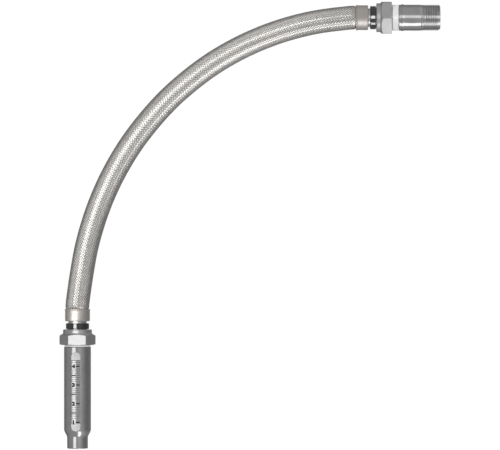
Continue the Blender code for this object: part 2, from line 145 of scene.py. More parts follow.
def addSky(settings):
    world = bpy.data.worlds.new("studioSky")
    world.use_nodes = True
    bpy.context.scene.world = world
    nodes, links = world.node_tree.nodes, world.node_tree.links
    coords = nodes.new("ShaderNodeTexCoord")
    parts = nodes.new("ShaderNodeSeparateXYZ")
    links.new(coords.outputs["Generated"], parts.inputs[0])
    shades = []
    for axis, stops in (("X", settings["skyAcross"]), ("Z", settings["skyHeight"])):
        span = nodes.new("ShaderNodeMapRange")
        span.inputs["From Min"].default_value = -1.0
        links.new(parts.outputs[axis], span.inputs["Value"])
        ramp = nodes.new("ShaderNodeValToRGB")
        fillRamp(ramp, [(at, (grey, grey, grey)) for at, grey in stops])
        links.new(span.outputs["Result"], ramp.inputs["Fac"])
        shades.append(ramp.outputs["Color"])
    links.new(multiplied(world.node_tree, *shades), nodes["Background"].inputs["Color"])


def multiplied(tree, first, second):
    both = tree.nodes.new("ShaderNodeMix")
    both.data_type = "RGBA"
    both.blend_type = "MULTIPLY"
    both.inputs["Factor"].default_value = 1.0
    tree.links.new(first, both.inputs["A"])
    tree.links.new(second, both.inputs["B"])
    return both.outputs["Result"]


def fillRamp(ramp, stops):
    stopList = ramp.color_ramp.elements
    while len(stopList) < len(stops):
        stopList.new(1.0)
    for stop, (at, colour) in zip(stopList, stops):
        stop.position = at
        stop.color = (*colour, 1.0)


def addFloor(settings):
    bm = bmesh.new()
    bmesh.ops.create_grid(bm, x_segments=1, y_segments=1, size=settings["floorSize"] / 2)
    bmesh.ops.translate(bm, verts=bm.verts, vec=(0, 0, -settings["floorDrop"] * mm))
    mesh = bpy.data.meshes.new("studioFloor")
    bm.to_mesh(mesh)
    bm.free()
    floor = bpy.data.objects.new("studioFloor", mesh)
    bpy.context.scene.collection.objects.link(floor)
    paper = newMaterial("paleFloor", settings["floorColour"], settings["floorRoughness"], 0.0)
    shader = shaderOf(paper)
    shader.inputs["Emission Color"].default_value = (1, 1, 1, 1)
    shader.inputs["Emission Strength"].default_value = settings["floorGlow"]
    mesh.materials.append(paper)
    floor.visible_glossy = False  # the metal mirrors the studio, not the floor


# Materials

noiseSpan = (0.3, 0.7)  # most of a noise's values lie between these


def newMaterial(name, colour, roughness, metallic):
    material = bpy.data.materials.new(name)
    material.use_nodes = True
    shader = shaderOf(material)
    shader.inputs["Base Color"].default_value = (*colour, 1.0)
    shader.inputs["Roughness"].default_value = roughness
    shader.inputs["Metallic"].default_value = metallic
    return material


def shaderOf(material):
    return material.node_tree.nodes["Principled BSDF"]


def noiseOn(material, scale, detail, stretch=(1, 1, 1)):
    # noise on the piece's own coordinates, in metres
    nodes, links = material.node_tree.nodes, material.node_tree.links
    coords = nodes.new("ShaderNodeTexCoord")
    place = nodes.new("ShaderNodeMapping")
    place.inputs["Scale"].default_value = stretch
    noise = nodes.new("ShaderNodeTexNoise")
    noise.inputs["Scale"].default_value = scale
    noise.inputs["Detail"].default_value = detail
    links.new(coords.outputs["Object"], place.inputs["Vector"])
    links.new(place.outputs["Vector"], noise.inputs["Vector"])
    return noise.outputs["Fac"]


def tintBy(material, factor, dark, light):
    nodes, links = material.node_tree.nodes, material.node_tree.links
    ramp = nodes.new("ShaderNodeValToRGB")
    fillRamp(ramp, list(zip(noiseSpan, (dark, light))))
    links.new(factor, ramp.inputs["Fac"])
    links.new(ramp.outputs["Color"], shaderOf(material).inputs["Base Color"])


def roughenBy(material, factor, low, high):
    nodes, links = material.node_tree.nodes, material.node_tree.links
    span = nodes.new("ShaderNodeMapRange")
    span.inputs["From Min"].default_value, span.inputs["From Max"].default_value = noiseSpan
    span.inputs["To Min"].default_value = low
    span.inputs["To Max"].default_value = high
    links.new(factor, span.inputs["Value"])
    links.new(span.outputs["Result"], shaderOf(material).inputs["Roughness"])


def bumpBy(material, height, strength, distance):
    nodes, links = material.node_tree.nodes, material.node_tree.links
    bump = nodes.new("ShaderNodeBump")
    bump.inputs["Strength"].default_value = strength
    bump.inputs["Distance"].default_value = distance
    links.new(height, bump.inputs["Height"])
    links.new(bump.outputs["Normal"], shaderOf(material).inputs["Normal"])


def scaled(colour, by):
    return tuple(min(c * by, 1.0) for c in colour)


# A finish's grain and patches are a noise's scale and detail. Its tint and roughness are the least and
# most of the piece's own, and its bump is a strength and a depth in mm.

turnedFinish = {
    "grain": (5500, 3),
    "grainRound": 0.02,  # tool marks run round the axis, so the grain is drawn out across it
    "patches": (260, 4),
    "tint": (0.93, 1.06),
    "roughness": (0.75, 1.3),
    "bump": (0.15, 0.02),
}

satinFinish = {  # a plated, tumbled face: fine grain with no direction
    "grain": (2600, 5),
    "patches": (190, 3),
    "tint": (0.94, 1.05),
    "roughness": (0.8, 1.25),
    "bump": (0.04, 0.01),
}

mouldedFinish = {
    "grainDetail": 4,
    "patches": (150, 2),
    "tint": (0.93, 1.05),
    "roughness": (0.85, 1.2),
    "bump": (0.10, 0.03),
}


def addFinish(material, colour, roughness, grain, finish):
    dark, light = [scaled(colour, by) for by in finish["tint"]]
    tintBy(material, noiseOn(material, *finish["patches"]), dark, light)
    low, high = [roughness * by for by in finish["roughness"]]
    roughenBy(material, grain, low, high)
    strength, depth = finish["bump"]
    bumpBy(material, grain, strength, depth * mm)


def turnedMetal(name, colour, roughness, along, bump=turnedFinish["bump"]):
    material = newMaterial(name, colour, roughness, 1.0)
    stretch = [turnedFinish["grainRound"]] * 3
    stretch["XYZ".index(along)] = 1.0
    grain = noiseOn(material, *turnedFinish["grain"], stretch)
    addFinish(material, colour, roughness, grain, {**turnedFinish, "bump": bump})
    return material


def satinMetal(name, colour, roughness):
    material = newMaterial(name, colour, roughness, 1.0)
    grain = noiseOn(material, *satinFinish["grain"])
    addFinish(material, colour, roughness, grain, satinFinish)
    return material


def mouldedPlastic(name, colour, roughness, grainScale):
    material = newMaterial(name, colour, roughness, 0.0)
    grain = noiseOn(material, grainScale, mouldedFinish["grainDetail"])
    addFinish(material, colour, roughness, grain, mouldedFinish)
    return material


# Fittings: each end has an axis from its ferrule's mouth to its free end, with X up. Stations along it
# and all other sizes of the pieces are in mm, where no note says metres.


def fittingFrame(mouth, along):
    up = Vector((0, 0, 1))
    along = Vector(along)
    turn = Matrix((up, along.cross(up), along)).transposed()
    return Matrix.Translation(mouth) @ turn.to_4x4()


endFrames = {
    "nozzle": fittingFrame((-0.0932, -0.0456, 0.0085), (0, -1, 0)),
    "inlet": fittingFrame((0.0576, 0.1122, 0.0097917), (1, 0, 0)),
}

turning = {
    "steps": 128,  # round the axis
    "ringGap": 0.9,  # longest step along a profile
    "roundSegments": 4,
    "fewSteps": 96,  # for pieces that hardly show
    "sealSteps": 64,
}


def lathe(profile, steps=turning["steps"], ringGap=turning["ringGap"]):
    # closed profile of (radius, station, rounding of that corner) in mm, spun about the axis
    bm = bmesh.new()
    corners = [bm.verts.new((radius * mm, 0, station * mm)) for radius, station, _ in profile]
    for i, corner in enumerate(corners):
        bm.edges.new((corners[i - 1], corner))
    for corner, (_, _, rounding) in zip(corners, profile):
        if rounding:
            bmesh.ops.bevel(
                bm,
                geom=[corner],
                offset=rounding * mm,
                offset_type="OFFSET",
                segments=turning["roundSegments"],
                affect="VERTICES",
                profile=0.5,
                material=-1,
            )
    for edge in bm.edges[:]:
        cuts = int(edge.calc_length() / (ringGap * mm))
        if cuts:
            bmesh.ops.subdivide_edges(bm, edges=[edge], cuts=cuts)
    bmesh.ops.spin(
        bm,
        geom=bm.verts[:] + bm.edges[:],
        cent=(0, 0, 0),
        axis=(0, 0, 1),
        angle=2 * math.pi,
        steps=steps,
        use_merge=True,
    )
    return bm


def ringProfile(ring):
    outer, hole = ring["outside"] / 2, ring["hole"] / 2
    return [
        (outer, ring["to"], ring["rounding"]),
        (outer, ring["from"], ring["rounding"]),
        (hole, ring["from"], ring["holeRounding"]),
        (hole, ring["to"], ring["holeRounding"]),
    ]


def spread(v, by):
    # moves a point out from the axis, or in towards it
    v.co.x *= by
    v.co.y *= by


def joinTo(bm, made):
    mesh = bpy.data.meshes.new("joined")
    made.to_mesh(mesh)
    made.free()
    bm.from_mesh(mesh)
    bpy.data.meshes.remove(mesh)


threadForm = {  # shares of the pitch, from the middle of the ridge
    "crestHalf": 0.15,
    "shoulderHalf": 0.27,
    "footHalf": 0.48,
    "shoulderDrop": 0.25,  # share of the thread's depth
    "sunk": 0.1,  # mm of the ridge's foot inside the core
    "fadeTurns": 0.5,
    "stepsPerTurn": 48,
}


def addThread(bm, crest, root, pitch, start, end, chamfer=0):
    # a helical ridge on the core, fading in at its start and kept inside the end chamfer
    made = bmesh.new()
    foot = pitch * threadForm["footHalf"]
    shoulder, flat = pitch * threadForm["shoulderHalf"], pitch * threadForm["crestHalf"]
    first = start + foot  # the ridge's middle starts and stops half a ridge inside the ends
    drop = (crest - root) * threadForm["shoulderDrop"]
    sunk, stepsPerTurn = threadForm["sunk"], threadForm["stepsPerTurn"]
    section = [
        (root - sunk, -foot),
        (crest - drop, -shoulder),
        (crest, -flat),
        (crest, flat),
        (crest - drop, shoulder),
        (root - sunk, foot),
    ]
    points = [made.verts.new((radius * mm, 0, (first + station) * mm)) for radius, station in section]
    edges = [made.edges.new((points[i - 1], point)) for i, point in enumerate(points)]
    turns = (end - foot - first) / pitch
    bmesh.ops.spin(
        made,
        geom=points + edges,
        cent=(0, 0, 0),
        axis=(0, 0, 1),
        dvec=(0, 0, pitch * mm / stepsPerTurn),
        angle=2 * math.pi * turns,
        steps=round(turns * stepsPerTurn),
    )
    for v in made.verts:
        station = v.co.z / mm
        radius = math.hypot(v.co.x, v.co.y) / mm
        fade = min(max((station - start) / (threadForm["fadeTurns"] * pitch), 0), 1)
        limit = root - sunk + (crest - root + sunk) * fade
        if chamfer:
            limit = min(limit, crest - (station - (end - chamfer)))
        if radius > limit:
            spread(v, limit / radius)
    bmesh.ops.holes_fill(made, edges=made.edges[:], sides=len(section))
    bmesh.ops.recalc_face_normals(made, faces=made.faces[:])
    joinTo(bm, made)


def addPiece(name, bm, place, material, body, slot, *nodes, sharp=40):
    bmesh.ops.remove_doubles(bm, verts=bm.verts[:], dist=mergeGap)
    bmesh.ops.recalc_face_normals(bm, faces=bm.faces[:])
    bm.transform(place)
    mesh = bpy.data.meshes.new(name)
    bm.to_mesh(mesh)
    bm.free()
    mesh.shade_smooth()
    mesh.set_sharp_from_angle(angle=math.radians(sharp))
    mesh.materials.append(material)
    piece = bpy.data.objects.new(name, mesh)
    bpy.context.scene.collection.objects.link(piece)
    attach(piece, body)
    if nodes:
        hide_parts(*nodes)
    return piece


# Hose

hose = {
    "outside": 13.0,
    "linerOutside": 11.76,
    "linerBore": 8.2,
    "tucked": 4.6,  # length inside each ferrule
    "crimp": 0.52,  # how far the ferrule squeezes it in
    "crimpLength": 0.8,
    "strands": 28,  # each way round
    "turnLength": 43.4,  # along the hose for one turn of a strand
    "strandWidth": 0.95,
    "strandThickness": 0.22,
    "weaveLift": 0.12,
    "seamGap": 1e-7,  # metres; closes each strand's own seam
    "wiresInStrand": 5,
    "wireBump": (0.14, 0.03),  # strength, and depth in mm
    "wireRoughness": (0.27, 0.37),
    "steel": (0.95, 0.925, 0.89),
    "patches": (420, 3),
    "patchDark": 0.86,
    # painted shade: share of the steel's colour left where a strand dips under the next, standing in
    # for shadow in the weave
    "paintedShade": 0.15,
    "paintedShadeSpan": (0.06, 0.52),  # from darkest to full steel as a strand rises: painted shade in the dips
    "rubber": (0.035, 0.034, 0.033),
    "rubberRoughness": 0.6,
    "rubberGrain": 1800,
    "linerCuts": (160, 40),  # along and round
    "curveSteps": 40,  # between two corners of the route
    "straightLead": 0.003,  # metres from here on
    "settleLength": 0.070,
    "floorGap": 0.00005,
    "sampleGap": 0.0005,
    "pathGap": 0.002,
    "route": [
        (-0.0932, -0.0456), (-0.0910, -0.0268), (-0.0882, -0.0115), (-0.0840, 0.0034),
        (-0.0785, 0.0178), (-0.0717, 0.0315), (-0.0636, 0.0446), (-0.0543, 0.0567),
        (-0.0440, 0.0680), (-0.0325, 0.0782), (-0.0202, 0.0873), (-0.0069, 0.0951),
        (0.0071, 0.1015), (0.0218, 0.1065), (0.0370, 0.1100), (0.0576, 0.1122),
    ],
}


def eased(share):
    # from 0 to 1 with a soft start and end
    share = min(max(share, 0), 1)
    return share * share * (3 - 2 * share)


def lyingHeight(endHeight, distance):
    # the hose comes down from a fitting's height and then lies on the floor
    low = hose["outside"] * mm / 2 + hose["floorGap"]
    return endHeight + (low - endHeight) * eased(distance / hose["settleLength"])


def hoseCorners():
    first, last = Vector(hose["route"][0]), Vector(hose["route"][-1])
    points = []
    for place in hose["route"]:
        fromNozzle = (Vector(place) - first).length - hose["straightLead"]
        fromInlet = (Vector(place) - last).length - hose["straightLead"]
        if fromNozzle < fromInlet:
            height = lyingHeight(endFrames["nozzle"].translation.z, fromNozzle)
        else:
            height = lyingHeight(endFrames["inlet"].translation.z, fromInlet)
        points.append(Vector((*place, height)))
    out = Vector((0, hose["straightLead"], 0))  # away from the nozzle, along its axis
    home = Vector((hose["straightLead"], 0, 0))  # towards the inlet, along its axis
    start, end = points[0], points[-1]
    return [start - out, start, start + out, *points[1:-1], end - home, end, end + home]


def hoseLine():
    # a smooth curve through the corners, then points at an even gap along it
    corners = hoseCorners()
    fine = []
    for before, start, end, after in zip(corners, corners[1:], corners[2:], corners[3:]):
        step = (end - start).length
        leaving = (end - before) * step / ((start - before).length + step)
        arriving = (after - start) * step / (step + (after - end).length)
        for i in range(hose["curveSteps"]):
            t = i / hose["curveSteps"]
            fine.append(
                start * (2 * t**3 - 3 * t**2 + 1)
                + leaving * (t**3 - 2 * t**2 + t)
                + end * (3 * t**2 - 2 * t**3)
                + arriving * (t**3 - t**2)
            )
    fine.append(corners[-2])
    made, left = [fine[0]], hose["sampleGap"]
    for a, b in zip(fine, fine[1:]):
        step = (b - a).length
        while step > left:
            a = a.lerp(b, left / step)
            made.append(a)
            step = (b - a).length
            left = hose["sampleGap"]
        left -= step
    return made


hosePoints = hoseLine()
hoseLength = hose["sampleGap"] * (len(hosePoints) - 1)
hoseAhead = []
for i in range(len(hosePoints)):
    ahead = hosePoints[min(i + 1, len(hosePoints) - 1)] - hosePoints[max(i - 1, 0)]
    hoseAhead.append(ahead.normalized())
print("hose: %.1f mm between the ferrules" % (hoseLength / mm))


def onHose(station, angle, radius):
    # a point in metres on the hose's round, from its station along the centreline
    inside = min(max(station, 0), hoseLength)
    k = inside / hose["sampleGap"]
    i = min(int(k), len(hosePoints) - 2)
    centre = hosePoints[i].lerp(hosePoints[i + 1], k - i)
    ahead = hoseAhead[i].lerp(hoseAhead[i + 1], k - i).normalized()
    side = ahead.cross(Vector((0, 0, 1))).normalized()
    up = side.cross(ahead)
    centre = centre + ahead * (station - inside)
    return centre + (up * math.cos(angle) + side * math.sin(angle)) * radius


def squeezed(station):
    # how far the ferrules press the hose in at this station, in mm
    fromEnd = min(station, hoseLength - station) / mm
    return hose["crimp"] * (1 - eased(fromEnd / hose["crimpLength"]))


def braidRows():
    # crossings along a strand: the gap between two, and the first and last row
    rowGap = hose["turnLength"] * mm / (2 * hose["strands"])
    start = -round(hose["tucked"] * mm / rowGap)
    end = round((hoseLength + hose["tucked"] * mm) / rowGap)
    return rowGap, start, end


def makeBraid(material):
    count = hose["strands"]
    turnLength = hose["turnLength"] * mm
    rowGap, start, end = braidRows()
    half, rise = hose["strandWidth"] / 2, hose["strandThickness"] / 2
    middle = hose["outside"] / 2 - hose["weaveLift"] - rise
    slant = math.atan(2 * math.pi * middle * mm / turnLength)
    section = [(-half, 0), (0, rise), (half, 0), (0, -rise), (-half, 0)]
    sides = len(section) - 1
    bm = bmesh.new()
    unwrap = bm.loops.layers.uv.new("UVMap")
    for way in (1, -1):
        for k in range(count):
            strand = bmesh.ops.create_grid(
                bm, x_segments=end - start, y_segments=sides, size=1.0, calc_uvs=True
            )
            for v in strand["verts"]:
                row = start + round((v.co.x + 1) / 2 * (end - start))
                for loop in v.link_loops:  # the other way's strands dip where these rise
                    loop[unwrap].uv.x = (row - start + (way < 0)) / (end - start + 1)
                across, height = section[round((v.co.y + 1) / 2 * sides)]
                over = way if row % 2 == 0 else -way
                station = row * rowGap
                angle = 2 * math.pi * (k / count + way * station / turnLength)
                angle += way * across * math.cos(slant) / middle
                station -= across * mm * math.sin(slant)
                radius = middle + over * hose["weaveLift"] + height - squeezed(station)
                v.co = onHose(station, angle, radius * mm)
    bmesh.ops.remove_doubles(bm, verts=bm.verts[:], dist=hose["seamGap"])
    rims = [edge for edge in bm.edges if edge.is_boundary]
    bmesh.ops.holes_fill(bm, edges=rims, sides=sides)
    place = Matrix.Identity(4)  # it is made where it lies
    return addPiece("hoseBraid", bm, place, material, "hose", "braid", "braid_sleeve", sharp=60)


def makeLiner(material):
    outside = hose["linerOutside"] / 2
    reach = hoseLength + 2 * hose["tucked"] * mm
    along, around = hose["linerCuts"]
    bm = bmesh.new()
    bmesh.ops.create_grid(bm, x_segments=along, y_segments=around, size=1.0)
    for v in bm.verts:
        station = (v.co.x + 1) / 2 * reach - hose["tucked"] * mm
        angle = (v.co.y + 1) * math.pi
        v.co = onHose(station, angle, (outside - squeezed(station)) * mm)
    bmesh.ops.remove_doubles(bm, verts=bm.verts[:], dist=mergeGap)
    bmesh.ops.recalc_face_normals(bm, faces=bm.faces[:])
    wall = outside - hose["linerBore"] / 2 - hose["crimp"]
    bmesh.ops.solidify(bm, geom=bm.faces[:], thickness=wall * mm)
    place = Matrix.Identity(4)
    return addPiece("hoseLiner", bm, place, material, "hose", "liner", "inner_hose")


def braidWire():
    # drawn wires side by side in each strand, with painted shade where a strand dips under the next
    steel = hose["steel"]
    material = newMaterial("braidWire", steel, sum(hose["wireRoughness"]) / 2, 1.0)
    nodes, links = material.node_tree.nodes, material.node_tree.links
    unwrapped = nodes.new("ShaderNodeUVMap")
    unwrapped.uv_map = "UVMap"
    parts = nodes.new("ShaderNodeSeparateXYZ")
    links.new(unwrapped.outputs["UV"], parts.inputs[0])
    _, start, end = braidRows()
    waves = []
    for axis, turns, first in (
        ("X", math.pi * (end - start + 1), math.pi * start),
        ("Y", 4 * math.pi * hose["wiresInStrand"], 0),
    ):
        phase = nodes.new("ShaderNodeMath")
        phase.operation = "MULTIPLY_ADD"
        phase.inputs[1].default_value = turns
        phase.inputs[2].default_value = first
        links.new(parts.outputs[axis], phase.inputs[0])
        wave = nodes.new("ShaderNodeMath")
        wave.operation = "COSINE"
        links.new(phase.outputs[0], wave.inputs[0])
        waves.append(wave.outputs[0])
    lifted, wires = waves
    patches = noiseOn(material, *hose["patches"])
    tints = []
    for factor, span, colours in (
        # painted shade: the steel is darkened where the strand dips under the crossing one
        (lifted, hose["paintedShadeSpan"], (scaled(steel, hose["paintedShade"]), steel)),
        (patches, noiseSpan, ([hose["patchDark"]] * 3, (1, 1, 1))),
    ):
        ramp = nodes.new("ShaderNodeValToRGB")
        fillRamp(ramp, list(zip(span, colours)))
        links.new(factor, ramp.inputs["Fac"])
        tints.append(ramp.outputs["Color"])
    tint = multiplied(material.node_tree, *tints)
    links.new(tint, shaderOf(material).inputs["Base Color"])
    roughenBy(material, patches, *hose["wireRoughness"])
    strength, depth = hose["wireBump"]
    bumpBy(material, wires, strength, depth * mm)
    return material


def liningRubber():
    return mouldedPlastic(
        "liningRubber", hose["rubber"], hose["rubberRoughness"], hose["rubberGrain"]
    )


# Crimped ferrules, hose tails and black collars

ferrule = {
    "outside": 13.4,
    "inside": 12.2,
    "length": 6.5,
    "endWall": 0.8,
    "neckHole": 10.4,
    "lipWidth": 0.6,
    "lipRise": 0.22,
    "lipSlope": 0.15,
    "lipRounding": 0.12,
    "mouthRounding": 0.15,
    "neckRounding": 0.1,
    "endRounding": 0.5,
    "steel": (0.73, 0.69, 0.65),
    "roughness": 0.45,
}

tail = {
    "neck": 9.9,
    "shoulder": 5.2,
    "flangeOutside": 11.75,
    "flange": (13.05, 14.25),
    "stem": 6.52,
    "barb": 7.42,
    "barbs": 3,
    "barbLength": 1.4,
    "barbSlope": 0.9,  # share of a barb's length
    "barbRounding": 0.05,
    "bore": 5.5,
    "faceRounding": 0.15,
    "flangeRounding": 0.1,
    "shoulderRounding": 0.2,
    "steel": (0.70, 0.70, 0.70),
    "roughness": 0.30,
}

collar = {
    "outside": 12.5,
    "hole": 10.4,
    "from": 7.6,
    "to": 10.75,
    "rounding": 0.4,
    "holeRounding": 0.1,
    "black": (0.012, 0.012, 0.012),
    "roughness": 0.10,
    "grain": 1400,
    "gloss": 1.9,  # index of refraction of its lacquer
}


def makeFerrule(end, material):
    outer, inner, hole = ferrule["outside"] / 2, ferrule["inside"] / 2, ferrule["neckHole"] / 2
    length, lip = ferrule["length"], outer + ferrule["lipRise"]
    shoulder = length - ferrule["endWall"]
    profile = [
        (outer, length, ferrule["endRounding"]),
        (outer, ferrule["lipWidth"] + ferrule["lipSlope"], ferrule["neckRounding"]),
        (lip, ferrule["lipWidth"], ferrule["lipRounding"]),
        (lip, 0, ferrule["mouthRounding"]),
        (inner, 0, ferrule["mouthRounding"]),
        (inner, shoulder, 0),
        (hole, shoulder, 0),
        (hole, length, ferrule["neckRounding"]),
    ]
    place = endFrames[end]
    addPiece(end + "Ferrule", lathe(profile), place, material, "hose", "ferrule", end + "_ferrule")


def makeTail(end, material):
    neck, flange = tail["neck"] / 2, tail["flangeOutside"] / 2
    stem, barb, bore = tail["stem"] / 2, tail["barb"] / 2, tail["bore"] / 2
    flangeFrom, face = tail["flange"]
    shoulder, barbLength = tail["shoulder"], tail["barbLength"]
    profile = [
        (flange, face, tail["faceRounding"]),
        (flange, flangeFrom, tail["flangeRounding"]),
        (neck, flangeFrom, 0),
        (neck, shoulder, tail["shoulderRounding"]),
        (stem, shoulder, 0),
    ]
    station = shoulder - barbLength / 3
    for _ in range(tail["barbs"]):
        profile += [
            (stem, station, 0),
            (barb, station, tail["barbRounding"]),
            (stem, station - barbLength * tail["barbSlope"], 0),
        ]
        station -= barbLength
    profile += [(stem, station, 0), (bore, station, 0), (bore, face, tail["shoulderRounding"])]
    bm = lathe(profile, turning["fewSteps"])
    addPiece(end + "HoseTail", bm, endFrames[end], material, "hose", "tail", end + "_hose_tail")


def makeCollar(end, material):
    bm = lathe(ringProfile(collar))
    addPiece(end + "Collar", bm, endFrames[end], material, "hose", "collar", end + "_collar")


def collarGloss():
    material = mouldedPlastic("collarGloss", collar["black"], collar["roughness"], collar["grain"])
    shaderOf(material).inputs["IOR"].default_value = collar["gloss"]
    return material


# Union nuts and their flat seals

nut = {
    "acrossFlats": 17.0,
    "from": 11.0,
    "face": 19.3,
    "envelope": 10.115,  # radius of the turned blank, a little past the corners
    "collarOutside": 15.6,
    "collarLength": 2.15,
    "coneLength": 1.3,
    "chamfer": 0.35,
    "rearHole": 10.4,
    "rearWall": 1.8,
    "rearRounding": 0.35,
    "coneRounding": 0.25,
    "holeRounding": 0.1,
    "bore": 12.25,
    "boreChamfer": 0.3,
    "steps": 240,
    "ringGap": 0.22,
    "flatsFrom": 7.5,  # radius inside which the nut stays round
    "facing": 0.4,  # a flat turned further away than this cosine is left out
    "edgeSoftness": 0.07,
    "turn": {"nozzle": 0.0, "inlet": 34.0},
    # both nuts have one plating; the inlet nut's lighter tone is painted light, tuned to how its end is
    # lit
    "steel": {"nozzle": (0.67, 0.67, 0.67), "inlet": (0.70, 0.70, 0.70)},
    "roughness": {"nozzle": 0.28, "inlet": 0.42},
}

gasket = {
    "outside": 11.75,
    "hole": 6.0,
    "from": 14.5,
    "to": 15.5,
    "rounding": 0.15,
    "holeRounding": 0.15,
}

seal = {  # colour, roughness, scale of the grain
    "whiteNylon": ((0.93, 0.93, 0.91), 0.42, 900),
    "sealRubber": ((0.025, 0.025, 0.025), 0.55, 1500),
}


def makeNut(end, material):
    collarRadius, rear, face = nut["collarOutside"] / 2, nut["from"], nut["face"]
    flat, bore, hole = nut["acrossFlats"] / 2, nut["bore"] / 2, nut["rearHole"] / 2
    chamfer = nut["boreChamfer"]
    profile = [
        (flat, face, 0),
        (nut["envelope"], face - nut["chamfer"], 0),
        (nut["envelope"], rear + nut["collarLength"] + nut["coneLength"], 0),
        (collarRadius, rear + nut["collarLength"], nut["coneRounding"]),
        (collarRadius, rear, nut["rearRounding"]),
        (hole, rear, nut["holeRounding"]),
        (hole, rear + nut["rearWall"], 0),
        (bore, rear + nut["rearWall"], 0),
        (bore, face - chamfer, 0),
        (bore + chamfer, face, 0),
    ]
    bm = lathe(profile, nut["steps"], nut["ringGap"])
    turn, soft = math.radians(nut["turn"][end]), nut["edgeSoftness"]
    for v in bm.verts:
        radius = math.hypot(v.co.x, v.co.y) / mm
        if radius < nut["flatsFrom"]:
            continue
        angle = math.atan2(v.co.y, v.co.x) - turn
        limits = [radius]
        for k in range(6):
            facing = math.cos(angle - k * math.pi / 3)
            if facing > nut["facing"]:
                limits.append(flat / facing)
        least = min(limits)  # the blank and the flats meet in a small round
        kept = least - soft * math.log(sum(math.exp((least - limit) / soft) for limit in limits))
        spread(v, kept / radius)
    place = endFrames[end]
    addPiece(
        end + "UnionNut", bm, place, material, end + "_nut", "nut", end + "_union_nut", sharp=50
    )


def makeGasket(end, material):
    bm = lathe(ringProfile(gasket), turning["sealSteps"])
    addPiece(end + "Gasket", bm, endFrames[end], material, "hose", "seal_white", end + "_gasket")


# Inlet: white seal ring and threaded adapter

union = {  # crest and root are radii
    "crest": 5.875,
    "root": 5.25,
    "pitch": 1.25,
    "from": 15.75,
    "edge": 0.4,
}

sealRing = {
    "outside": 14.2,
    "hole": 12.25,
    "from": 19.55,
    "to": 22.85,
    "rounding": 0.3,
    "holeRounding": 0.1,
}

adapter = {
    "outside": 14.0,
    "bore": 9.0,
    "shoulder": 23.1,
    "end": 45.5,
    "bead": (24.4, 25.7),
    "beadRise": 0.25,
    "beadSlope": 0.06,
    "beadRounding": 0.05,
    "beadFillet": 0.03,
    "shoulderRounding": 0.2,
    "threadRoot": 6.40,  # radius
    "threadFrom": 34.4,
    "runOut": 3.2,
    "pitch": 1.25,
    "chamfer": 0.7,
    "coreChamfer": 0.25,
    "boreChamfer": 0.6,
    "endRounding": 0.06,
    "unionThreadGap": 0.5,  # from the union's thread to the shoulder
    "steel": (0.56, 0.56, 0.56),
    "roughness": 0.15,
}


def makeSealRing(material):
    bm = lathe(ringProfile(sealRing))
    place = endFrames["inlet"]
    addPiece("inletSealRing", bm, place, material, "inlet", "seal_white", "inlet_seal_ring")


def addUnionThread(bm, end):
    addThread(bm, union["crest"], union["root"], union["pitch"], union["from"], end)


def makeAdapter(material):
    outer, bore, end = adapter["outside"] / 2, adapter["bore"] / 2, adapter["end"]
    root, threadFrom, shoulder = adapter["threadRoot"], adapter["threadFrom"], adapter["shoulder"]
    beadFrom, beadTo = adapter["bead"]
    bead, slope = outer + adapter["beadRise"], adapter["beadSlope"]
    core, mouth, rounding = adapter["coreChamfer"], adapter["boreChamfer"], adapter["endRounding"]
    profile = [
        (root - core, end, rounding),
        (root, end - core, rounding),
        (root, threadFrom + adapter["runOut"], 0),
        (outer, threadFrom, 0),
        (outer, beadTo, adapter["beadFillet"]),
        (bead, beadTo - slope, adapter["beadRounding"]),
        (bead, beadFrom + slope, adapter["beadRounding"]),
        (outer, beadFrom, adapter["beadFillet"]),
        (outer, shoulder, adapter["shoulderRounding"]),
        (union["root"], shoulder, 0),
        (union["root"], union["from"] + union["edge"], 0),
        (union["root"] - union["edge"], union["from"], rounding),
        (bore, union["from"], 0),
        (bore, end - mouth, 0),
        (bore + mouth, end, rounding),
    ]
    bm = lathe(profile)
    addThread(bm, outer, root, adapter["pitch"], threadFrom, end, adapter["chamfer"])
    addUnionThread(bm, shoulder - adapter["unionThreadGap"])
    addPiece("inletAdapter", bm, endFrames["inlet"], material, "inlet", "adapter", "inlet_adapter")


# Nozzle: thin washer, barrel with its milled slot, graduated strip

washer = {
    "outside": 14.1,
    "hole": 12.25,
    "from": 19.38,
    "to": 20.18,
    "rounding": 0.12,
    "holeRounding": 0,
}

barrel = {
    "outside": 14.5,
    "shoulder": 20.3,
    "taperFrom": 65.0,
    "taperTo": 69.6,
    "tipOutside": 11.2,
    "end": 75.4,
    "tipBore": 6.8,
    "chamberBore": 8.6,
    "seatBore": 9.8,
    "seatLedge": 22.25,
    "springLedge": 40.0,
    "edge": 0.4,
    "boreRounding": 0.25,
    "spigotEdge": 0.1,
    "taperSteps": 12,
    "steps": 160,
    "ringGap": 0.7,
    "slotWidth": 5.15,
    "slotFrom": 23.1,
    "slotLength": 43.0,
    "slotDepth": 1.0,
    "slotFillet": 0.12,
    "slotSegments": 48,
    "cutterHeight": 4.0,
    "slotTurn": 7.0,  # degrees from straight up
    "steel": (0.57, 0.57, 0.57),
    "roughness": 0.17,
    "toolMarks": (0.08, 0.02),
}

strip = {
    "crown": 7.15,  # radius of its face
    "width": 4.65,
    "thickness": 0.65,
    "from": 27.45,
    "length": 34.4,
    "cuts": (14, 60),  # across and along
    "edge": 0.08,
    "steel": (0.65, 0.65, 0.65),
    "roughness": 0.22,
}

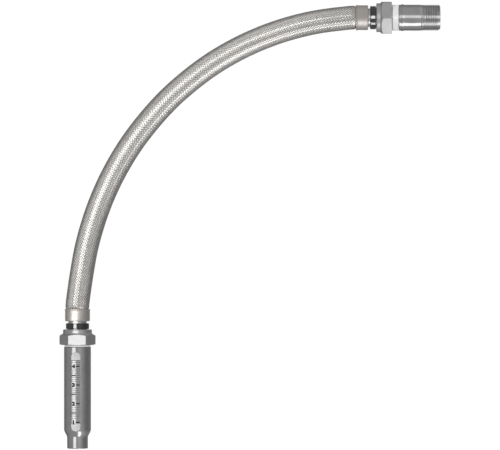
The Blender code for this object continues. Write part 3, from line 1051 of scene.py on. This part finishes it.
scale = {
    "firstAt": 61.0,  # station of the mark for 1
    "unit": 10.09,
    "units": 4,
    "partsOfUnit": 10,
    "partsPastLast": 3,
    "unitMark": (0.20, 2.20, 0.66),  # from, to across the strip, and the line's width
    "halfMark": (-2.30, 0.20, 0.62),
    "fineMark": (-2.20, 0.40, 0.19),
    "rightMark": (0.60, 2.15, 0.17),
    "digitHeight": 2.3,
    "digitStretch": 1.2,
    "digitBold": 0.07,
    "digitAt": -1.15,
    "digitSmooth": 6,
    "digitCuts": 12,  # the flat digit is cut across so that it can bend
    "proud": -0.03,  # the marks start a little under the strip's face
    "raised": 0.05,
    "markCuts": 6,
    "enamel": (0.022, 0.022, 0.024),
    "roughness": 0.7,
    "grain": 2200,
    "shine": 0.1,
}


def makeWasher(material):
    bm = lathe(ringProfile(washer))
    place = endFrames["nozzle"]
    addPiece("nozzleSealWasher", bm, place, material, "nozzle", "seal_white", "nozzle_seal_washer")


def barrelBlank():
    outer, tip, end = barrel["outside"] / 2, barrel["tipOutside"] / 2, barrel["end"]
    seat, chamber, tipBore = (barrel[key] / 2 for key in ("seatBore", "chamberBore", "tipBore"))
    steps = barrel["taperSteps"]
    profile = [(tip, end, barrel["edge"])]
    for i in range(steps + 1):
        share = i / steps
        blend = (1 - math.cos(math.pi * share)) / 2
        station = barrel["taperTo"] + (barrel["taperFrom"] - barrel["taperTo"]) * share
        profile.append((tip + (outer - tip) * blend, station, 0))
    profile += [
        (outer, barrel["shoulder"], barrel["edge"]),
        (union["root"], barrel["shoulder"], 0),
        (union["root"], union["from"] + union["edge"], 0),
        (union["root"] - barrel["spigotEdge"], union["from"], 0),
        (seat, union["from"], 0),
        (seat, barrel["seatLedge"], 0),
        (chamber, barrel["seatLedge"], 0),
        (chamber, barrel["springLedge"], 0),
        (tipBore, barrel["springLedge"], 0),
        (tipBore, end, barrel["boreRounding"]),
    ]
    return lathe(profile, barrel["steps"], barrel["ringGap"])


def slotFloor():
    return (barrel["outside"] / 2 - barrel["slotDepth"]) * mm


def slotCutter():
    # a circle pulled out into a round-ended slot, raised to a block and rounded along its bottom
    half, segments = barrel["slotWidth"] / 2, barrel["slotSegments"]
    straight = barrel["slotLength"] - 2 * half
    bm = bmesh.new()
    bmesh.ops.create_circle(bm, cap_ends=True, segments=segments, radius=half * mm)
    bmesh.ops.rotate(bm, verts=bm.verts[:], matrix=Matrix.Rotation(math.pi / segments, 3, "Z"))
    far = [v for v in bm.verts if v.co.y > 0]
    bmesh.ops.translate(bm, verts=far, vec=(0, straight * mm, 0))
    raised = bmesh.ops.extrude_face_region(bm, geom=bm.faces[:])["geom"]
    tops = [v for v in raised if isinstance(v, bmesh.types.BMVert)]
    bmesh.ops.translate(bm, verts=tops, vec=(0, 0, barrel["cutterHeight"] * mm))
    bottom = [e for e in bm.edges if all(abs(v.co.z) < mergeGap for v in e.verts)]
    fillet = barrel["slotFillet"] * mm
    bmesh.ops.bevel(
        bm, geom=bottom, offset=fillet, segments=3, affect="EDGES", profile=0.5, material=-1
    )
    upright = Matrix(((0, 0, 1), (1, 0, 0), (0, 1, 0))).to_4x4()  # Z outwards, Y along the barrel
    foot = Matrix.Translation((slotFloor(), 0, (barrel["slotFrom"] + half) * mm))
    bm.transform(Matrix.Rotation(math.radians(barrel["slotTurn"]), 4, "Z") @ foot @ upright)
    bmesh.ops.recalc_face_normals(bm, faces=bm.faces[:])
    return bm


def carve(bm, cutter):
    bmesh.ops.remove_doubles(bm, verts=bm.verts[:], dist=mergeGap)
    bmesh.ops.recalc_face_normals(bm, faces=bm.faces[:])
    made = []
    for name, shape in (("carveBody", bm), ("carveTool", cutter)):
        mesh = bpy.data.meshes.new(name)
        shape.to_mesh(mesh)
        shape.free()
        thing = bpy.data.objects.new(name, mesh)
        bpy.context.scene.collection.objects.link(thing)
        made.append(thing)
    body, tool = made
    cut = body.modifiers.new("slot", "BOOLEAN")
    cut.operation = "DIFFERENCE"
    cut.solver = "EXACT"
    cut.object = tool
    carved = body.evaluated_get(bpy.context.evaluated_depsgraph_get())
    out = bmesh.new()
    out.from_mesh(carved.to_mesh())
    carved.to_mesh_clear()
    for thing in made:
        mesh = thing.data
        bpy.data.objects.remove(thing)
        bpy.data.meshes.remove(mesh)
    return out


def makeBarrel(material):
    bm = carve(barrelBlank(), slotCutter())
    addUnionThread(bm, barrel["shoulder"] - barrel["spigotEdge"])
    place = endFrames["nozzle"]
    piece = addPiece("nozzleBarrel", bm, place, material, "nozzle", "barrel", "nozzle_barrel", sharp=30)
    turn = math.radians(barrel["slotTurn"])
    outwards = place.to_3x3() @ Vector((math.cos(turn), math.sin(turn), 0))
    points, floor = piece.data.vertices, slotFloor()
    for edge in piece.data.edges:  # the slot's floor is shaded flat up to its fillet
        heights = [(points[i].co - place.translation).dot(outwards) for i in edge.vertices]
        if max(abs(height - floor) for height in heights) < mergeGap:
            edge.use_edge_sharp = True


def onStrip(across, station, lift):
    # across runs to the right as the numbers are read, and station towards the tip
    angle = math.radians(barrel["slotTurn"]) - across / strip["crown"]
    radius = (strip["crown"] + lift) * mm
    return Vector((radius * math.cos(angle), radius * math.sin(angle), station * mm))


def makeStrip(material):
    across, along = strip["cuts"]
    bm = bmesh.new()
    bmesh.ops.create_grid(bm, x_segments=across, y_segments=along, size=1.0)
    for v in bm.verts:
        station = strip["from"] + (v.co.y + 1) / 2 * strip["length"]
        v.co = onStrip(v.co.x * strip["width"] / 2, station, 0)
    bmesh.ops.recalc_face_normals(bm, faces=bm.faces[:])
    bmesh.ops.solidify(bm, geom=bm.faces[:], thickness=strip["thickness"] * mm)
    rim = [e for e in bm.edges if e.calc_face_angle(0) > math.radians(60)]
    edge = strip["edge"] * mm
    bmesh.ops.bevel(bm, geom=rim, offset=edge, segments=2, affect="EDGES", profile=0.5, material=-1)
    place = endFrames["nozzle"]
    addPiece("nozzleScaleStrip", bm, place, material, "nozzle", "strip", "nozzle_scale_strip", sharp=50)


def addMark(bm, station, mark):
    left, right, width = mark
    line = bmesh.ops.create_grid(bm, x_segments=scale["markCuts"], y_segments=1, size=1.0)
    for v in line["verts"]:
        across = left + (v.co.x + 1) / 2 * (right - left)
        v.co = onStrip(across, station + v.co.y * width / 2, scale["proud"])


def addDigit(bm, digit, station):
    words = bpy.data.curves.new("digit" + digit, "FONT")
    words.body = digit
    words.resolution_u = scale["digitSmooth"]
    words.offset = scale["digitBold"]
    letter = bpy.data.objects.new("digit" + digit, words)
    bpy.context.scene.collection.objects.link(letter)
    bpy.context.view_layer.update()
    seen = letter.evaluated_get(bpy.context.evaluated_depsgraph_get())
    flat = bmesh.new()
    flat.from_mesh(seen.to_mesh())
    seen.to_mesh_clear()
    bpy.data.objects.remove(letter)
    bpy.data.curves.remove(words)
    low = Vector([min(v.co[axis] for v in flat.verts) for axis in (0, 1)])
    high = Vector([max(v.co[axis] for v in flat.verts) for axis in (0, 1)])
    for i in range(1, scale["digitCuts"]):
        cut = (low.x + (high.x - low.x) * i / scale["digitCuts"], 0, 0)
        everything = flat.verts[:] + flat.edges[:] + flat.faces[:]
        bmesh.ops.bisect_plane(flat, geom=everything, dist=mergeGap, plane_co=cut, plane_no=(1, 0, 0))
    size = scale["digitHeight"] / (high.y - low.y)
    middle = (low + high) / 2
    for v in flat.verts:
        across = scale["digitAt"] + (v.co.x - middle.x) * size * scale["digitStretch"]
        v.co = onStrip(across, station - (v.co.y - middle.y) * size, scale["proud"])
    joinTo(bm, flat)


def makeScaleMarks(material):
    bm = bmesh.new()
    parts = scale["partsOfUnit"]
    for i in range((scale["units"] - 1) * parts + scale["partsPastLast"] + 1):
        station = scale["firstAt"] - i * scale["unit"] / parts
        if i % parts == 0:
            addMark(bm, station, scale["unitMark"])
            addDigit(bm, str(1 + i // parts), station)
        elif i % parts == parts // 2:
            addMark(bm, station, scale["halfMark"])
            addMark(bm, station, scale["rightMark"])
        else:
            addMark(bm, station, scale["rightMark"])
            if 1 < i % parts < parts - 1:  # the marks beside a digit are left out
                addMark(bm, station, scale["fineMark"])
    raised = bmesh.ops.extrude_face_region(bm, geom=bm.faces[:])["geom"]
    for v in raised:
        if isinstance(v, bmesh.types.BMVert):
            spread(v, 1 + scale["raised"] * mm / math.hypot(v.co.x, v.co.y))
    addPiece("nozzleScaleMarks", bm, endFrames["nozzle"], material, "nozzle", "seal_black")


# Check valve in the barrel

valve = {
    "seat": (16.0, 22.0),
    "seatOutside": 9.0,
    "seatBore": 4.4,
    "seatMouth": 5.8,
    "seatRounding": 0.15,
    "groove": 6.8,
    "grooveHalf": 0.75,
    "grooveRounding": 0.08,
    "ringMiddle": 8.3,  # diameter at the middle of the O-ring's section
    "ringSection": 1.0,
    "ringSides": 16,
    "ballAt": 24.2297,
    "ball": 7.0,
    "ballCuts": (48, 24),
    "springFrom": 25.76,
    "springTo": 39.45,
    "springMiddle": 7.5,
    "springWire": 0.6,
    "springTurns": 6,
    "springSteps": 40,  # in a turn
    "springSides": 12,
    "ballLift": 3.0,
    "brass": ((0.75, 0.58, 0.28), 0.25),  # colour and roughness
    "chrome": ((0.72, 0.72, 0.72), 0.10),
    "wire": ((0.58, 0.58, 0.58), 0.28),
}


def makeSeat(brass, rubber):
    start, end = valve["seat"]
    outer, groove = valve["seatOutside"] / 2, valve["groove"] / 2
    bore, mouth, half = valve["seatBore"] / 2, valve["seatMouth"] / 2, valve["grooveHalf"]
    rounding, grooveRounding = valve["seatRounding"], valve["grooveRounding"]
    middle = (start + end) / 2
    profile = [
        (outer, end, rounding),
        (outer, middle + half, grooveRounding),
        (groove, middle + half, 0),
        (groove, middle - half, 0),
        (outer, middle - half, grooveRounding),
        (outer, start, rounding),
        (bore, start, rounding),
        (bore, end - (mouth - bore), 0),
        (mouth, end, 0),
    ]
    place = endFrames["nozzle"]
    bm = lathe(profile, turning["fewSteps"])
    addPiece("valveSeat", bm, place, brass, "nozzle", "valve_brass", "valve_seat")
    radius, section, sides = valve["ringMiddle"] / 2, valve["ringSection"] / 2, valve["ringSides"]
    circle = [2 * math.pi * i / sides for i in range(sides)]
    profile = [(radius + section * math.cos(a), middle + section * math.sin(a), 0) for a in circle]
    bm = lathe(profile, turning["sealSteps"])
    addPiece("valveSeatRing", bm, place, rubber, "nozzle", "seal_black", "valve_seat_o_ring")


def makeBall(chrome):
    around, upwards = valve["ballCuts"]
    bm = bmesh.new()
    bmesh.ops.create_uvsphere(
        bm, u_segments=around, v_segments=upwards, radius=valve["ball"] / 2 * mm
    )
    bmesh.ops.translate(bm, verts=bm.verts[:], vec=(0, 0, valve["ballAt"] * mm))
    addPiece("checkBall", bm, endFrames["nozzle"], chrome, "ball", "ball", "check_ball")


def makeSpring(wire):
    steps, sides, turns = valve["springSteps"], valve["springSides"], valve["springTurns"]
    length = valve["springTo"] - valve["springFrom"]
    pitch = length / turns
    bm = bmesh.new()
    bmesh.ops.create_circle(bm, segments=sides, radius=valve["springWire"] / 2 * mm)
    bm.transform(Matrix.Rotation(math.pi / 2, 4, "X"))
    start = (valve["springMiddle"] / 2 * mm, 0, valve["springFrom"] * mm)
    bmesh.ops.translate(bm, verts=bm.verts[:], vec=start)
    bmesh.ops.spin(
        bm,
        geom=bm.verts[:] + bm.edges[:],
        cent=(0, 0, 0),
        axis=(0, 0, 1),
        dvec=(0, 0, pitch * mm / steps),
        angle=2 * math.pi * turns,
        steps=steps * turns,
    )
    bmesh.ops.holes_fill(bm, edges=[e for e in bm.edges if e.is_boundary], sides=sides)
    place = endFrames["nozzle"]
    spring = addPiece("valveSpring", bm, place, wire, "nozzle", "spring", "valve_spring")
    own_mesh(spring)


bpy.context.scene.view_settings.view_transform = "Standard"
addCamera(photoView)
addSky(studio)
addFloor(studio)
print("studio: camera, sky and floor")

braid = makeBraid(braidWire())
liner = makeLiner(liningRubber())
pathSteps = int(hoseLength / hose["pathGap"]) + 1
hosePath = [onHose(i * hose["pathGap"], 0, 0) for i in range(pathSteps)]
hosePath.insert(0, onHose(-hose["tucked"] * mm, 0, 0))
hosePath.append(onHose(hoseLength + hose["tucked"] * mm, 0, 0))
print("braid:", len(braid.data.polygons), "faces")

gloss = collarGloss()
whiteNylon, sealRubber = [mouldedPlastic(name, *look) for name, look in seal.items()]
for end, along in (("nozzle", "Y"), ("inlet", "X")):
    makeFerrule(end, turnedMetal(end + "FerruleSteel", ferrule["steel"], ferrule["roughness"], along))
    makeTail(end, turnedMetal(end + "TailSteel", tail["steel"], tail["roughness"], along))
    makeCollar(end, gloss)
    makeNut(end, satinMetal(end + "NutPlating", nut["steel"][end], nut["roughness"][end]))
    makeGasket(end, whiteNylon)
print("unions done")

makeSealRing(whiteNylon)
makeAdapter(turnedMetal("adapterSteel", adapter["steel"], adapter["roughness"], "X"))
makeWasher(whiteNylon)
makeBarrel(
    turnedMetal("barrelSteel", barrel["steel"], barrel["roughness"], "Y", barrel["toolMarks"])
)
makeStrip(turnedMetal("stripSatin", strip["steel"], strip["roughness"], "X"))
scaleEnamel = mouldedPlastic("scaleEnamel", scale["enamel"], scale["roughness"], scale["grain"])
shaderOf(scaleEnamel).inputs["Specular IOR Level"].default_value = scale["shine"]
makeScaleMarks(scaleEnamel)
makeSeat(turnedMetal("seatBrass", *valve["brass"], "Y"), sealRubber)
makeBall(satinMetal("ballChrome", *valve["chrome"]))
makeSpring(satinMetal("springWire", *valve["wire"]))
print("inlet, nozzle and valve done")

for softbox in studio["softboxes"]:
    addSoftbox(*softbox)
print("studio:", len(studio["softboxes"]), "softboxes")
